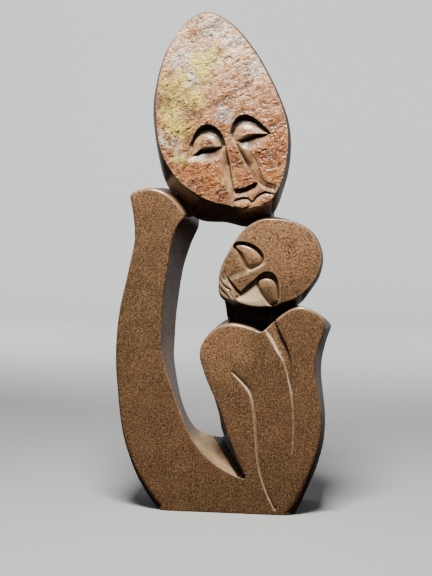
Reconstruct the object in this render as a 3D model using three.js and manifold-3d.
// A mother and child carved from one block of dark brown serpentine.
// The mother is a bowl: an upright back that ends in a sloping shoulder, a flat foot, and a knee and
// a fin-shaped shoulder on the other side. Her egg-shaped head rests on the upright and on the child.
// The child's tilted head rests on the knee and the fin. The gap between them goes right through.
//
// Millimetres. Z is up, the carved faces look along -Y, and X runs to the viewer's right.
// Outlines are given in thousandths of the figure's height, as [across, up], read along the edge.
import * as THREE from 'three'
import { mergeVertices } from 'three/addons/utils/BufferGeometryUtils.js'
import Module from 'manifold-3d'

// Overall sizes of the stone
const figureHeight = 560
const figureBreadth = 236
const stoneThickness = 90

// Rounding of the worn and polished edges
const frontEdgeRound = 3.2
const backEdgeRound = 11
const footEdgeRound = 11
const footRoundStarts = 150

// How the two heads bulge, in shares of the stone's thickness. The mother's face leans back from her
// chin to her crown, whose heights are in thousandths.
const motherChinForward = 0.55
const motherChinHeight = 608
const motherCrownForward = 0.12
const motherCrownHeight = 996
const motherFaceSwell = 0.055
const motherBackDepth = 0.5
const childFaceForward = 0.53
const childFaceSwell = 0.03
const childBackDepth = 0.47

// Fineness of the surface
const insetStep = 1.2
const backSettle = 0.3
const headSegments = 56
const cutStep = 5

// Outlines of the block, clockwise from the foot's left corner
const outlineBreadth = 421
const outerBack = [[-150, 0], [-172, 33], [-197, 82], [-219, 159], [-229, 248], [-232, 321],
  [-224, 402], [-209, 467], [-194, 531], [-192, 563], [-196, 603], [-202, 631]]
const shoulderTop = [[-202, 631], [-194, 639], [-174, 646], [-159, 647], [-139, 643], [-119, 631],
  [-108, 620], [-97, 606], [-91, 596]]
const innerBackFront = [[-91, 596], [-91, 589], [-97, 581], [-109, 565], [-119, 524], [-124, 495],
  [-134, 425], [-138, 345], [-135, 309], [-117, 249], [-98, 199], [-73, 143], [-35, 103], [-7, 85],
  [38, 65]]
const innerBackRear = [[-89, 588], [-87, 578], [-90, 563], [-105, 530], [-123, 471], [-135, 391],
  [-140, 327], [-140, 285], [-127, 209], [-102, 152], [-70, 132], [-33, 126]]
const thighFront = [[38, 65], [28, 86], [12, 120], [-9, 180], [-22, 213], [-38, 249], [-47, 269],
  [-54, 289], [-59, 306], [-60, 322], [-56, 338], [-43, 358]]
const thighRear = [[-33, 126], [-41, 150], [-45, 175], [-55, 209], [-67, 249], [-76, 276], [-81, 303],
  [-78, 326], [-64, 346]]
const kneeFront = [[-43, 358], [-31, 369], [-15, 377], [7, 380], [41, 373], [65, 362]]
const kneeRear = [[-64, 346], [-45, 364], [-27, 376], [-8, 380], [16, 377], [58, 358]]
const finTopFront = [[65, 362], [84, 382], [104, 399], [124, 411], [141, 415], [157, 411], [172, 404],
  [183, 395], [188, 385], [189, 372]]
const finTopRear = [[58, 358], [87, 384], [105, 397], [122, 405], [157, 392], [180, 376], [189, 365]]
const finSideFront = [[189, 372], [184, 356], [177, 340], [172, 324], [171, 302], [173, 268], [178, 238],
  [183, 200], [182, 167], [177, 136], [171, 113], [162, 83], [148, 40], [129, 0]]
const finSideRear = [[189, 365], [182, 345], [175, 322], [169, 292], [168, 266], [172, 228], [176, 196],
  [177, 160], [173, 122], [163, 82], [148, 42], [129, 0]]
const footLine = [[129, 0], [-150, 0]]

// The mother's head: the rim of her rough face, and the widest section behind it, from the crown
// round by her cheek on the viewer's left
const motherRim = [[-56, 996], [-98, 974], [-136, 914], [-152, 838], [-152, 798], [-141, 724], [-101, 662],
  [-41, 623], [3, 613], [43, 608], [82, 624], [104, 664], [112, 710], [111, 768], [85, 840], [39, 919],
  [-9, 972]]
const motherWidest = [[-59, 1000], [-101, 978], [-144, 917], [-165, 841], [-169, 801], [-160, 724],
  [-138, 647], [-78, 584], [-20, 577], [30, 569], [72, 590], [100, 655], [110, 705], [108, 770],
  [83, 842], [39, 921], [-10, 977]]

// The child's head, from its crown round by the brow on the viewer's left
const childRim = [[65, 585], [45, 576], [27, 563], [5, 532], [-15, 490], [-19, 466], [-15, 436], [17, 423],
  [45, 416], [75, 416], [110, 425], [134, 434], [155, 451], [173, 477], [182, 508], [176, 538],
  [157, 565], [127, 581], [96, 586]]
const childWidest = [[65, 590], [39, 582], [21, 566], [-7, 526], [-28, 486], [-33, 456], [-30, 428],
  [-6, 410], [30, 399], [70, 396], [108, 402], [133, 417], [154, 444], [171, 473], [177, 504],
  [171, 533], [153, 561], [127, 577], [96, 586]]

// The narrow bridges of stone set back between the forms
const motherNeck = [[-128, 637], [-112, 618], [-97, 588], [-84, 593], [-68, 606], [-88, 652], [-116, 662]]
const crownBridge = [[28, 578], [40, 566], [64, 570], [75, 584], [74, 600], [56, 622], [32, 602]]
const childNeck = [[-25, 442], [-24, 404], [-16, 374], [40, 352], [80, 354], [106, 384], [121, 404],
  [121, 432], [60, 470]]
const bridgeForward = 0.16
const childNeckForward = -0.12
const neckBack = 0.36
const padBack = 0.24
const bridgeRound = 0.06
const bridgeSegments = 18
const headSideCurve = 1.6

// Chip cuts. Each station is [across, up, width to the left, width to the right, depth]: the place
// along the cut in thousandths of the height, then the two walls and the depth in millimetres,
// left and right being taken along the run of the cut.
const valleyBesideThigh = [[84, 398, 2.6, 13, 13], [95, 369, 2.5, 13.5, 10], [107, 345, 2.2, 13, 7.8],
  [116.5, 322, 2, 10.5, 5.4], [121.5, 298, 1.8, 7, 3.8], [122.5, 268, 1.5, 3.4, 3],
  [124.5, 235, 1.2, 1.8, 2.8], [127, 192, 1, 1.6, 2.8], [126.5, 158, 0.8, 1.4, 2.4],
  [124, 116, 0.4, 0.6, 0.8]]
const grooveAlongShin = [[1, 286, 0.4, 0.5, 0.8], [14, 277, 1.2, 1.8, 2.6], [31, 261, 1.8, 3.4, 4.6],
  [43, 243, 1.6, 2.8, 4], [50, 210, 1, 1.8, 3], [54, 150, 0.9, 1.6, 2.8], [60, 96, 0.9, 1.7, 2.8],
  [74, 50, 1, 1.9, 3], [93, 10, 1, 1.9, 3.2]]

const motherCuts = [
  // flank of the nose on the viewer's left, with the hollow of the cheek
  [[-16, 752, 0.6, 1.5, 1.5], [-11, 735, 0.9, 5, 3.5], [-6, 714, 1.1, 13, 4.5], [-1, 692, 1.2, 14, 5.5],
    [4, 666, 1.2, 10, 6.5], [8, 643, 1.2, 7, 7], [8, 618, 0.8, 4.5, 3.5], [7, 600, 0.6, 4, 2.5]],
  // flank on the viewer's right
  [[5, 752, 1, 1, 1.5], [11, 737, 5, 1.1, 4], [20, 717, 12, 1.2, 5], [32, 696, 13, 1.2, 6],
    [43, 678, 11, 1.2, 6.5], [54, 660, 9, 1.4, 6.5], [68, 649, 7, 2, 5], [90, 643, 6, 2, 4]],
  // underside of the nose and the hollow above the mouth
  [[1, 637, 0.8, 5, 3], [12, 642, 1.3, 8.5, 8], [28, 645, 1.4, 9, 9], [41, 650, 1.4, 9, 8.5],
    [52, 656, 1.3, 8, 7.5], [62, 661, 0.6, 3, 2]],
  // parting of the lips
  [[1, 614, 0.5, 1.2, 1.2], [9, 621, 1, 4.5, 3.6], [22, 627, 1.1, 6.5, 4.6], [36, 627, 1.1, 6, 4.4],
    [46, 620, 1, 3, 3.4], [54, 630, 1, 5, 4], [67, 638, 1, 6, 4], [79, 637, 0.9, 4, 3],
    [90, 631, 0.5, 1.5, 1.2]],
]

const childCuts = [
  // upper flank of the nose
  [[74, 500, 0.6, 0.6, 0.6], [52, 489, 1.6, 4, 1.3], [36, 482, 1.6, 6, 1.6], [20, 475, 1.6, 6, 1.6],
    [2, 469, 1.4, 4, 1.3], [-10, 466, 1, 1, 0.6]],
  // tip of the nose
  [[-4, 473, 0.6, 0.8, 1], [3, 463, 1.3, 3, 5], [12, 452, 1.3, 4, 6], [22, 441, 1.3, 4, 6],
    [32, 434, 0.6, 1.2, 1.5]],
  // lower flank of the nose and the hollow of the cheek under it
  [[14, 431, 0.8, 5, 1.6], [24, 442, 1.1, 15, 4.6], [40, 457, 1.3, 21, 5.6], [54, 468, 1.3, 15, 5],
    [68, 478, 1, 1.5, 2.6]],
  // parting of the lips, and the fold beneath the lower lip
  [[-20, 470, 0.6, 0.8, 1.2], [-12, 458, 1.2, 2, 3], [-4, 451, 1.3, 2.2, 3.4], [3, 447, 1.2, 1.8, 2.8],
    [3, 439, 1, 1.5, 2.4], [10, 429, 0.6, 0.8, 1.2]],
  [[-24, 460, 0.5, 0.6, 1], [-16, 448, 1, 1.8, 2.2], [-8, 440, 1, 1.8, 2.2], [1, 430, 0.5, 0.8, 1]],
]

// Closed eyes: the socket cut into the face, the bulging lid standing in it, and the point of the
// lid that stands furthest out. The wall under the lid slopes up to the cheek.
const motherEyes = [
  {
    socket: [[-88, 702], [-83, 730], [-75, 749], [-64, 765], [-50, 772], [-34, 769], [-22, 760], [-13, 745],
      [-8, 721], [-12, 706], [-22, 700], [-49, 695], [-69, 696]],
    lid: [[-78, 708], [-76, 729], [-69, 744], [-59, 752], [-47, 754], [-35, 751], [-26, 744], [-21, 737],
      [-18, 729], [-23, 726], [-34, 724], [-50, 722], [-64, 719]],
    crest: [-47, 731],
    upright: true,
    depth: 6.5,
  },
  {
    socket: [[-1, 741], [0, 761], [6, 778], [15, 788], [27, 791], [41, 787], [55, 778], [70, 764], [80, 752],
      [70, 738], [55, 727], [39, 717], [24, 716], [9, 729]],
    lid: [[5, 743], [7, 759], [13, 768], [22, 773], [34, 774], [46, 770], [58, 762], [68, 756], [74, 753],
      [62, 752], [46, 749], [33, 744], [19, 739], [9, 739]],
    crest: [32, 753],
    upright: true,
    depth: 6.5,
  },
]
const childEyes = [
  {
    socket: [[8, 537], [20, 542], [36, 541], [52, 535], [64, 525], [70, 514], [68, 500], [56, 491], [40, 485],
      [32, 490], [24, 507], [16, 521], [8, 530]],
    lid: [[12, 534], [22, 536], [36, 533], [48, 527], [58, 518], [63, 510], [62, 502], [52, 496], [40, 494],
      [34, 502], [28, 513], [22, 523], [14, 530]],
    crest: [42, 510],
    upright: false,
    depth: 5,
  },
  {
    socket: [[52, 468], [62, 479], [74, 484], [86, 482], [95, 473], [99, 457], [100, 435], [95, 418], [82, 414],
      [68, 429], [58, 443], [52, 456]],
    lid: [[59, 464], [66, 469], [76, 470], [86, 466], [92, 457], [95, 441], [94, 424], [86, 420], [74, 433],
      [64, 447], [59, 456]],
    crest: [78, 450],
    upright: false,
    depth: 5.5,
  },
]
const browFloorShare = 0.93
const cheekFloorShare = 0.45
const cheekSlopeReach = 8
const socketLift = 2
const lidEdgeShare = 0.72
const lidBelowFace = 0.4
const eyeSegments = 22

// Converts thousandths of the height to millimetres across and up
const across = (value) => value * figureBreadth / outlineBreadth
const up = (value) => value * figureHeight / 1000
const inThickness = (value) => value * stoneThickness
const toPlane = ([x, z]) => new THREE.Vector2(across(x), up(z))

// A smooth open edge through the given points, as evenly spaced samples without the last one
function edge(points, count) {
  const curve = new THREE.SplineCurve(points.map(toPlane))
  return curve.getSpacedPoints(count).slice(0, -1)
}

// A smooth closed outline as evenly spaced samples
function closedOutline(points, count) {
  const stations = points.map(([x, z]) => new THREE.Vector3(across(x), 0, up(z)))
  const curve = new THREE.CatmullRomCurve3(stations, true, 'centripetal')
  const outline = curve.getSpacedPoints(count).slice(0, -1).map((p) => new THREE.Vector2(p.x, p.z))
  return THREE.ShapeUtils.isClockWise(outline) ? outline.reverse() : outline
}

const middleOf = (outline) => outline
  .reduce((sum, p) => sum.add(p), new THREE.Vector2())
  .divideScalar(outline.length)

// Moves an anticlockwise outline inward by the inset found at each point, in small steps that keep
// it smooth and keep the foot flat
function insetOutline(outline, insetAt, settle) {
  const inset = outline.map(insetAt)
  const steps = Math.ceil(Math.max(...inset) / insetStep)
  let moved = outline.map((p) => p.clone())
  for (let step = 0; step < steps; step += 1) {
    moved = moved.map((point, i) => {
      const before = moved[(i - 1 + moved.length) % moved.length]
      const after = moved[(i + 1) % moved.length]
      const run = after.clone().sub(before).normalize()
      const inward = new THREE.Vector2(-run.y, run.x)
      const place = point.clone().addScaledVector(inward, inset[i] / steps)
      place.lerp(before.clone().add(after).multiplyScalar(0.5), settle)
      place.y = outline[i].y < 1 ? 0 : Math.max(place.y, 0)
      return place
    })
  }
  return moved
}

// Raises a plane outline to a ring at the depth found at each point
const ringAt = (outline, depthAt) => outline.map((p) => new THREE.Vector3(p.x, depthAt(p), p.y))

// Joins rings from front to back into one closed skin. An end is a flat cap, or a fan to a point.
function loft(rings, frontPoint, backPoint) {
  const count = rings[0].length
  const points = rings.flat()
  const faces = []
  for (let r = 0; r + 1 < rings.length; r += 1) {
    for (let i = 0; i < count; i += 1) {
      const j = (i + 1) % count
      const a = r * count + i
      const b = r * count + j
      faces.push(a, a + count, b, b, a + count, b + count)
    }
  }
  const cap = (ring, offset, flip, point) => {
    if (point) {
      const centre = points.length
      points.push(point)
      for (let i = 0; i < count; i += 1) {
        const j = (i + 1) % count
        faces.push(centre, offset + (flip ? j : i), offset + (flip ? i : j))
      }
      return
    }
    const contour = ring.map((p) => new THREE.Vector2(p.x, p.z))
    for (const [a, b, c] of THREE.ShapeUtils.triangulateShape(contour, [])) {
      faces.push(offset + a, offset + (flip ? c : b), offset + (flip ? b : c))
    }
  }
  cap(rings[0], 0, false, frontPoint)
  cap(rings[rings.length - 1], (rings.length - 1) * count, true, backPoint)
  const geometry = new THREE.BufferGeometry()
  const places = points.flatMap((p) => [p.x, p.y, p.z])
  geometry.setAttribute('position', new THREE.Float32BufferAttribute(places, 3))
  geometry.setIndex(faces)
  return geometry
}

// The bowl-shaped body: back, shoulder, foot, thigh, knee and fin as one slab with rounded edges
function bodyForm() {
  const counts = [24, 11, 25, 15, 11, 10, 17, 6]
  const loop = (sections) => sections.flatMap((points, i) => edge(points, counts[i])).reverse()
  const front = loop([outerBack, shoulderTop, innerBackFront, thighFront, kneeFront, finTopFront,
    finSideFront, footLine])
  const rear = loop([outerBack, shoulderTop, innerBackRear, thighRear, kneeRear, finTopRear,
    finSideRear, footLine])
  const blend = (share) => front.map((p, i) => p.clone().lerp(rear[i], share))
  const footShare = (p) => THREE.MathUtils.smoothstep(up(footRoundStarts) - p.y, 0, up(footRoundStarts))
  const frontRound = (p) => frontEdgeRound + (footEdgeRound - frontEdgeRound) * footShare(p)
  const backRound = () => backEdgeRound
  const half = stoneThickness / 2
  const shoulderOf = Math.SQRT1_2
  const ring = (outline, round, inset, depthAt) => {
    const settle = round === backRound ? backSettle : 0
    return ringAt(insetOutline(outline, (p) => round(p) * inset, settle), depthAt)
  }
  const frontDepth = (share) => (p) => -half + frontRound(p) * share
  const backDepth = (share) => () => half - backEdgeRound * share
  return loft([
    ring(front, frontRound, 1, frontDepth(0)),
    ring(front, frontRound, 1 - shoulderOf, frontDepth(1 - shoulderOf)),
    ring(front, frontRound, 0, frontDepth(1)),
    ring(blend(0.55), frontRound, 0, () => 0),
    ring(blend(1), backRound, 0, backDepth(1)),
    ring(blend(1), backRound, 1 - shoulderOf, backDepth(1 - shoulderOf)),
    ring(blend(1), backRound, 1, backDepth(0)),
  ])
}

// A head: a gently swelling face inside its crisp rim, steep sides to the widest section, a domed back
function headForm(rimPoints, widestPoints, faceDepthAt, swell, backDepth) {
  const rim = closedOutline(rimPoints, headSegments)
  const widest = closedOutline(widestPoints, headSegments)
  const middle = middleOf(rim)
  const rings = []
  for (const share of [0.4, 0.75]) {
    const outline = rim.map((p) => middle.clone().lerp(p, share))
    rings.push(ringAt(outline, (p) => faceDepthAt(p) - swell * (1 - share * share)))
  }
  rings.push(ringAt(rim, faceDepthAt))
  for (const turn of [0.3, 0.62, 1]) {
    const out = 1 - (1 - turn) ** headSideCurve
    rings.push(rim.map((p, i) => {
      const spot = p.clone().lerp(widest[i], out)
      return new THREE.Vector3(spot.x, faceDepthAt(p) * (1 - turn), spot.y)
    }))
  }
  for (const turn of [0.22, 0.42, 0.6, 0.76, 0.9]) {
    const size = Math.cos(turn * Math.PI / 2) ** 0.72
    const outline = widest.map((p) => middle.clone().lerp(p, size))
    rings.push(ringAt(outline, () => backDepth * Math.sin(turn * Math.PI / 2)))
  }
  const front = new THREE.Vector3(middle.x, faceDepthAt(middle) - swell, middle.y)
  const back = new THREE.Vector3(middle.x, backDepth, middle.y)
  return loft(rings, front, back)
}

// A bridge of stone between two forms, rounded off in front and behind
function bridgeForm(points, forward, back) {
  const outline = closedOutline(points, bridgeSegments)
  const middle = middleOf(outline)
  const shrink = (share) => outline.map((p) => middle.clone().lerp(p, share))
  const round = inThickness(bridgeRound)
  return loft([
    ringAt(shrink(0.6), () => -inThickness(forward) - round),
    ringAt(shrink(0.87), () => -inThickness(forward) - round * 0.7),
    ringAt(outline, () => -inThickness(forward)),
    ringAt(outline, () => inThickness(back) - round * 2),
    ringAt(shrink(0.87), () => inThickness(back) - round * 0.7),
    ringAt(shrink(0.6), () => inThickness(back)),
  ])
}

// A chip cut: a three-sided tool swept along its stations, standing clear of the surface above it
function chipCut(stations, surfaceAt) {
  const line = new THREE.SplineCurve(stations.map(toPlane))
  const sizes = stations.map(([, , left, right, depth]) => new THREE.Vector3(left, right, depth))
  const walls = new THREE.CatmullRomCurve3(sizes, false, 'centripetal')
  const steps = Math.max(6, Math.round(line.getLength() / cutStep))
  const rings = []
  for (let i = 0; i <= steps; i += 1) {
    const t = i / steps
    const at = line.getPoint(t)
    const run = line.getTangent(t)
    const left = new THREE.Vector2(-run.y, run.x)
    const size = walls.getPoint(t)
    const depth = Math.max(size.z, 0.4)
    const lift = Math.max(depth * 0.5, 0.8)
    const flare = 1 + lift / depth
    const bottom = new THREE.Vector3(at.x, surfaceAt(at) + depth, at.y)
    const wallTop = (width) => {
      const spot = at.clone().addScaledVector(left, width)
      const lip = new THREE.Vector3(spot.x, surfaceAt(spot), spot.y)
      return bottom.clone().lerp(lip, flare)
    }
    rings.push([wallTop(Math.max(size.x, 0.3)), wallTop(-Math.max(size.y, 0.3)), bottom])
  }
  const points = rings.flat()
  const faces = []
  for (let r = 0; r < steps; r += 1) {
    for (let i = 0; i < 3; i += 1) {
      const a = r * 3 + i
      const b = r * 3 + (i + 1) % 3
      faces.push(a, b, a + 3, b, b + 3, a + 3)
    }
  }
  const last = steps * 3
  faces.push(0, 2, 1, last, last + 1, last + 2)
  const geometry = new THREE.BufferGeometry()
  const places = points.flatMap((p) => [p.x, p.y, p.z])
  geometry.setAttribute('position', new THREE.Float32BufferAttribute(places, 3))
  geometry.setIndex(faces)
  return geometry
}

const wasm = await Module()
wasm.setup()

// Closed geometry to a solid that can be added and subtracted
function solid(geometry) {
  geometry.deleteAttribute('normal')
  geometry.deleteAttribute('uv')
  const welded = mergeVertices(geometry, 1e-4)
  return new wasm.Manifold(new wasm.Mesh({
    numProp: 3,
    vertProperties: Float32Array.from(welded.attributes.position.array),
    triVerts: Uint32Array.from(welded.index.array),
  }))
}

// A face as a surface: its plane, with a swell that falls away to nothing at the rim
function faceSurface(rimPoints, planeAt, swell) {
  const rim = closedOutline(rimPoints, headSegments)
  const middle = middleOf(rim)
  const spokes = rim.map((p) => p.clone().sub(middle))
    .map((spoke) => ({ turn: Math.atan2(spoke.y, spoke.x), reach: spoke.length() }))
    .sort((a, b) => a.turn - b.turn)
  const first = spokes[0]
  const last = spokes[spokes.length - 1]
  const ring = [{ turn: last.turn - 2 * Math.PI, reach: last.reach }, ...spokes,
    { turn: first.turn + 2 * Math.PI, reach: first.reach }]
  return (p) => {
    const away = p.clone().sub(middle)
    const turn = Math.atan2(away.y, away.x)
    const next = ring.findIndex((spoke, i) => i > 0 && spoke.turn >= turn)
    const [low, high] = [ring[next - 1], ring[next]]
    const reach = low.reach + (high.reach - low.reach) * (turn - low.turn) / (high.turn - low.turn)
    const share = Math.min(1, away.length() / reach)
    return planeAt(p) - swell * (1 - share * share)
  }
}

// The socket of a closed eye, as a tool: steep under the brow, sloping up to the cheek below the lid
function socketTool(eye, surfaceAt) {
  const outline = closedOutline(eye.socket, eyeSegments)
  const crest = toPlane(eye.crest)
  const floor = outline.map((p) => {
    const below = THREE.MathUtils.clamp((crest.y - p.y) / cheekSlopeReach, 0, 1)
    const slope = eye.upright ? below : 0
    return crest.clone().lerp(p, THREE.MathUtils.lerp(browFloorShare, cheekFloorShare, slope))
  })
  return loft([
    ringAt(outline, (p) => surfaceAt(p) - socketLift),
    ringAt(outline, surfaceAt),
    ringAt(floor, (p) => surfaceAt(p) + eye.depth),
  ])
}

// The bulging lid, highest at its crest and footed in the socket's floor
function lidForm(eye, surfaceAt) {
  const outline = closedOutline(eye.lid, eyeSegments)
  const crest = toPlane(eye.crest)
  const edgeDepth = eye.depth * lidEdgeShare
  const depthOf = (share) => lidBelowFace + (edgeDepth - lidBelowFace) * (1 - Math.sqrt(1 - share * share))
  const rings = [0.45, 0.75, 0.93, 1].map((share) => {
    const inner = outline.map((p) => crest.clone().lerp(p, share))
    return ringAt(inner, (p) => surfaceAt(p) + depthOf(share))
  })
  rings.push(ringAt(outline, (p) => surfaceAt(p) + eye.depth + 1))
  const top = new THREE.Vector3(crest.x, surfaceAt(crest) + lidBelowFace, crest.y)
  return loft(rings, top)
}

const motherPlane = (p) => {
  const height = p.y / up(1)
  const faceHeight = motherCrownHeight - motherChinHeight
  const rise = THREE.MathUtils.clamp((height - motherChinHeight) / faceHeight, 0, 1)
  return -inThickness(motherChinForward + (motherCrownForward - motherChinForward) * rise)
}
const childPlane = () => -inThickness(childFaceForward)
const motherSurface = faceSurface(motherRim, motherPlane, inThickness(motherFaceSwell))
const childSurface = faceSurface(childRim, childPlane, inThickness(childFaceSwell))
const bodySurface = () => -stoneThickness / 2

// A head with its face carved
function carvedHead(form, surfaceAt, eyes, cuts) {
  let head = solid(form)
  for (const eye of eyes) {
    head = head.subtract(solid(socketTool(eye, surfaceAt)))
  }
  for (const cut of cuts) {
    head = head.subtract(solid(chipCut(cut, surfaceAt)))
  }
  for (const eye of eyes) {
    head = head.add(solid(lidForm(eye, surfaceAt)))
  }
  return head
}

let stone = solid(bodyForm())
for (const cut of [valleyBesideThigh, grooveAlongShin]) {
  stone = stone.subtract(solid(chipCut(cut, bodySurface)))
}
const motherHead = headForm(
  motherRim, motherWidest, motherPlane, inThickness(motherFaceSwell), inThickness(motherBackDepth),
)
const childHead = headForm(
  childRim, childWidest, childPlane, inThickness(childFaceSwell), inThickness(childBackDepth),
)
const bridges = [
  [motherNeck, bridgeForward, padBack],
  [crownBridge, bridgeForward, padBack],
  [childNeck, childNeckForward, neckBack],
]
for (const [outline, forward, back] of bridges) {
  stone = stone.add(solid(bridgeForm(outline, forward, back)))
}
stone = stone.add(carvedHead(motherHead, motherSurface, motherEyes, motherCuts))
stone = stone.add(carvedHead(childHead, childSurface, childEyes, childCuts))

const whole = stone.getMesh()
const geometry = new THREE.BufferGeometry()
const corners = Float32Array.from(whole.vertProperties)
geometry.setAttribute('position', new THREE.Float32BufferAttribute(corners, 3))
geometry.setIndex(Array.from(whole.triVerts))
geometry.computeBoundingBox()
const box = geometry.boundingBox
geometry.translate(-(box.min.x + box.max.x) / 2, -(box.min.y + box.max.y) / 2, -box.min.z)
geometry.computeVertexNormals()

const serpentine = new THREE.MeshStandardMaterial({ color: 0x6e5038, roughness: 0.45, metalness: 0 })
const figure = new THREE.Mesh(geometry, serpentine)
figure.name = 'mother_and_child'

const part = new THREE.Group()
part.name = 'maternity_figure'
part.add(figure)
export default part
